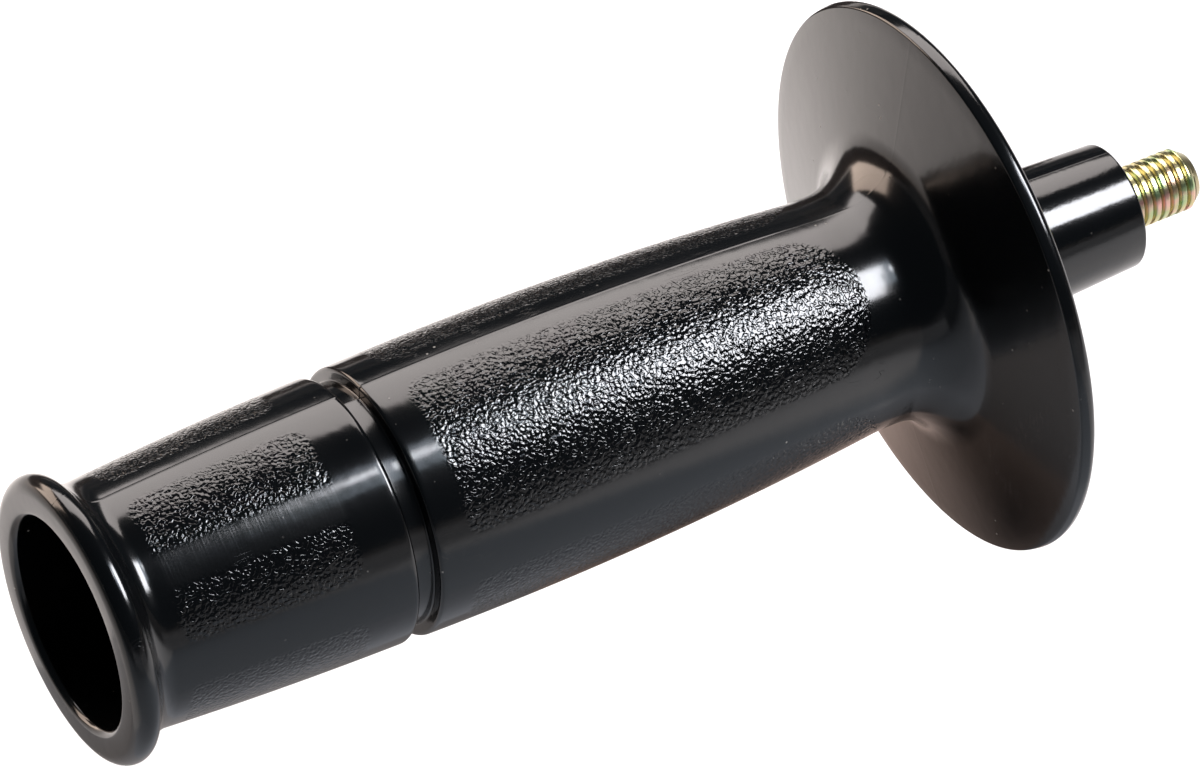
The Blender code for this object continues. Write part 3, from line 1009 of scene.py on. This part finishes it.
def add_lamp(name, width, height, brightness, tint):
    """A rectangular lamp that the camera doesn't see."""
    lamp = bpy.data.lights.new(name, "AREA")
    lamp.shape = "RECTANGLE"
    lamp.size = width
    lamp.size_y = height
    lamp.energy = brightness * math.pi * width * height
    lamp.color = tint
    holder = new_object(name, lamp)
    holder.visible_camera = False
    return holder


def add_softbox(name, brightness, swing, lean, roll, distance, width, height, tint):
    """A softbox that faces the handle. Its sides follow the swing and the lean before its roll."""
    swing, lean, roll = math.radians(swing), math.radians(lean), math.radians(roll)
    middle = Vector(((body_low.x + body_high.x) / 2, 0.0, 0.0))
    back = around_axis(swing, lean)
    side = Vector((0.0, -math.cos(swing), -math.sin(swing)))
    up = back.cross(side)
    holder = add_lamp(name, width, height, brightness, tint)
    turn = Matrix((side, up, back)).transposed().to_4x4() @ Matrix.Rotation(roll, 4, "Z")
    holder.matrix_world = Matrix.Translation(middle + back * distance) @ turn


def add_floor_lamp(s):
    """A lamp behind the handle that lights only the floor below it, for a bright background."""
    holder = add_lamp("floor_lamp", *FLOOR_LAMP_SIZE, s.rear, FLOOR_LAMP_TINT)
    holder.location = Vector(FLOOR_LAMP_PLACE) - Vector((0.0, 0.0, s.floor_drop))
    holder.visible_glossy = False


def add_floor(s):
    """A wide pale floor whose edge sweeps up into a low backdrop all round."""
    points = [Vector((0.0, 0.0)), Vector((FLOOR_FLAT, 0.0))]
    centre = Vector((FLOOR_FLAT, BACKDROP_CURVE))
    points += arc(centre, BACKDROP_CURVE, -math.pi / 2, 0.0, CURVE_STEPS)[1:]
    points.append(points[-1] + Vector((0.0, BACKDROP_RISE)))
    outline = bmesh.new()
    verts = [outline.verts.new((p.x, 0.0, p.y)) for p in points]
    for first, second in zip(verts, verts[1:]):
        outline.edges.new((first, second))
    bmesh.ops.spin(
        outline,
        geom=outline.verts[:] + outline.edges[:],
        axis=(0.0, 0.0, 1.0),
        cent=(0.0, 0.0, 0.0),
        angle=2 * math.pi,
        steps=FLOOR_COLUMNS,
        use_merge=True,
    )
    bmesh.ops.remove_doubles(outline, verts=outline.verts, dist=FLOOR_WELD)
    mesh = bpy.data.meshes.new("floor")
    outline.to_mesh(mesh)
    outline.free()
    mesh.shade_smooth()
    floor = new_object("floor", mesh)
    floor.location = (0.0, 0.0, -s.floor_drop)
    floor.data.materials.append(floor_material(s.floor, s.floor_front_shade, s.floor_seen))


def card_material(name, middle, edge, centre, reach, squeeze=1.0):
    """Matt card of painted shade: dark at a centre and changing outwards to another tint, over a longer
    way where X is squeezed.
    """
    material, tree, shader, coordinates = new_material(name)
    squeezed = tree.nodes.new("ShaderNodeMapping")
    squeezed.inputs["Scale"].default_value = (squeeze, 1.0, 1.0)
    tree.links.new(coordinates, squeezed.inputs["Vector"])
    distance = tree.nodes.new("ShaderNodeVectorMath")
    distance.operation = "DISTANCE"
    distance.inputs[1].default_value = (centre[0] * squeeze, centre[1], centre[2])
    tree.links.new(squeezed.outputs["Vector"], distance.inputs[0])
    share = spread_node(tree, distance.outputs["Value"], (0.0, reach))
    tree.links.new(mix_colour(tree, share, middle, edge), shader.inputs["Base Color"])
    make_matt(shader)
    return material


def add_card(name, near_edge, far_edge, material):
    """A card, a strip between two edges, that the camera doesn't see and that casts nothing.

    It gives the glossy surfaces painted shade to mirror.
    """
    mesh = bpy.data.meshes.new(name)
    count = len(near_edge)
    faces = [(i, i + 1, count + i + 1, count + i) for i in range(count - 1)]
    mesh.from_pydata([tuple(p) for p in near_edge + far_edge], [], faces)
    card = new_object(name, mesh)
    mesh.materials.append(material)
    card.visible_camera = False
    card.visible_diffuse = False
    card.visible_shadow = False


def add_cards(s):
    """Three cards of painted shadow under the handle and one of painted shade behind it, below the low
    softbox.
    """
    painted_shade = tuple(s.card)
    # each card paints the handle's shadow on the floor, dark round its centre
    for name, (ends, sides, edge, centre, reach, squeeze) in UNDER_CARDS.items():
        corners = [Vector((x, y, CARD_HEIGHT)) for y in sides for x in ends]
        material = card_material(name, painted_shade, edge, (*centre, CARD_HEIGHT), reach, squeeze)
        add_card(name, corners[:2], corners[2:], material)
    neck = Vector(NECK_PLACE)
    edges = []
    for edge in REAR_CARD_EDGES:
        ways = [around_axis(math.radians(swing), math.radians(lean)) for swing, lean in edge]
        edges.append([neck + way * REAR_CARD_DISTANCE for way in ways])
    # the card behind the handle is painted shade, dark all over
    material = card_material("rear_shade_card", painted_shade, painted_shade, neck, REAR_CARD_DISTANCE)
    add_card("rear_shade_card", *edges, material)


def add_camera(s):
    """A camera that looks at its aim from its azimuth, elevation and distance."""
    camera_data = bpy.data.cameras.new("camera")
    camera_data.sensor_width = SENSOR_WIDTH
    camera_data.lens = s.lens
    camera_data.clip_start = CLIP_START
    camera_data.clip_end = CLIP_END
    camera = new_object("camera", camera_data)
    turn, rise = s.azimuth, s.elevation
    back = Vector((math.sin(turn) * math.cos(rise), -math.cos(turn) * math.cos(rise), math.sin(rise)))
    camera.location = Vector(s.aim) + back * s.distance
    camera.rotation_euler = (math.pi / 2 - rise, 0.0, turn)
    bpy.context.scene.camera = camera


class SIDEHANDLE_OT_body(bpy.types.Operator):
    """Build the moulded body in its glossy black finish"""

    bl_idname = "side_handle.body"
    bl_label = "Moulded Body"
    bl_options = {"REGISTER", "UNDO"}

    def execute(self, context):
        settings = context.scene.side_handle_body
        finish = context.scene.side_handle_finish
        material = moulding_material(finish, pebble_grain_group(), shared_wear_group())
        new_piece("moulded_body", body_mesh(settings), material, "handle_body")
        return {"FINISHED"}


class SIDEHANDLE_OT_bolt(bpy.types.Operator):
    """Build the hexagon bolt with its thread and yellow plating"""

    bl_idname = "side_handle.bolt"
    bl_label = "Threaded Bolt"
    bl_options = {"REGISTER", "UNDO"}

    def execute(self, context):
        settings = context.scene.side_handle_bolt
        finish = context.scene.side_handle_finish
        material = zinc_material(finish, shared_wear_group())
        new_piece("threaded_bolt", bolt_mesh(settings), material, "stud_bolt")
        return {"FINISHED"}


class SIDEHANDLE_OT_stage(bpy.types.Operator):
    """Set up the floor, the softboxes, the surround and the camera"""

    bl_idname = "side_handle.stage"
    bl_label = "Studio"
    bl_options = {"REGISTER", "UNDO"}

    def execute(self, context):
        settings = context.scene.side_handle_stage
        scene = context.scene
        scene.view_settings.view_transform = "Standard"
        world = bpy.data.worlds.new("surround")
        world.use_nodes = True
        background = world.node_tree.nodes["Background"]
        background.inputs["Color"].default_value = (*settings.surround, 1.0)
        scene.world = world
        add_floor(settings)
        add_cards(settings)
        add_camera(settings)
        for name, place in SOFTBOXES.items():
            add_softbox(f"{name}_softbox", getattr(settings, name), *place)
        add_floor_lamp(settings)
        return {"FINISHED"}


class SIDEHANDLE_PT_panel(bpy.types.Panel):
    """Lists the side handle's pieces and settings"""

    bl_idname = "SIDEHANDLE_PT_panel"
    bl_label = "Side Handle"
    bl_space_type = "VIEW_3D"
    bl_region_type = "UI"
    bl_category = "Side Handle"

    def draw(self, context):
        layout = self.layout
        for settings, operator in (
            (context.scene.side_handle_body, "side_handle.body"),
            (context.scene.side_handle_bolt, "side_handle.bolt"),
            (context.scene.side_handle_finish, None),
            (context.scene.side_handle_stage, "side_handle.stage"),
        ):
            box = layout.box()
            for name in settings.bl_rna.properties.keys():
                if name not in ("rna_type", "name"):
                    box.prop(settings, name)
            if operator:
                box.operator(operator)


CLASSES = (
    SideHandleBodySettings,
    SideHandleBoltSettings,
    SideHandleFinishSettings,
    SideHandleStageSettings,
    SIDEHANDLE_OT_body,
    SIDEHANDLE_OT_bolt,
    SIDEHANDLE_OT_stage,
    SIDEHANDLE_PT_panel,
)
SETTINGS = {
    "side_handle_body": SideHandleBodySettings,
    "side_handle_bolt": SideHandleBoltSettings,
    "side_handle_finish": SideHandleFinishSettings,
    "side_handle_stage": SideHandleStageSettings,
}


def register():
    for cls in CLASSES:
        bpy.utils.register_class(cls)
    for name, cls in SETTINGS.items():
        setattr(bpy.types.Scene, name, PointerProperty(type=cls))


def unregister():
    for name in SETTINGS:
        delattr(bpy.types.Scene, name)
    for cls in reversed(CLASSES):
        bpy.utils.unregister_class(cls)


def main():
    """Registers the classes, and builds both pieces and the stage."""
    register()
    bpy.ops.side_handle.body()
    bpy.ops.side_handle.bolt()
    bpy.ops.side_handle.stage()


if __name__ == "__main__":
    main()
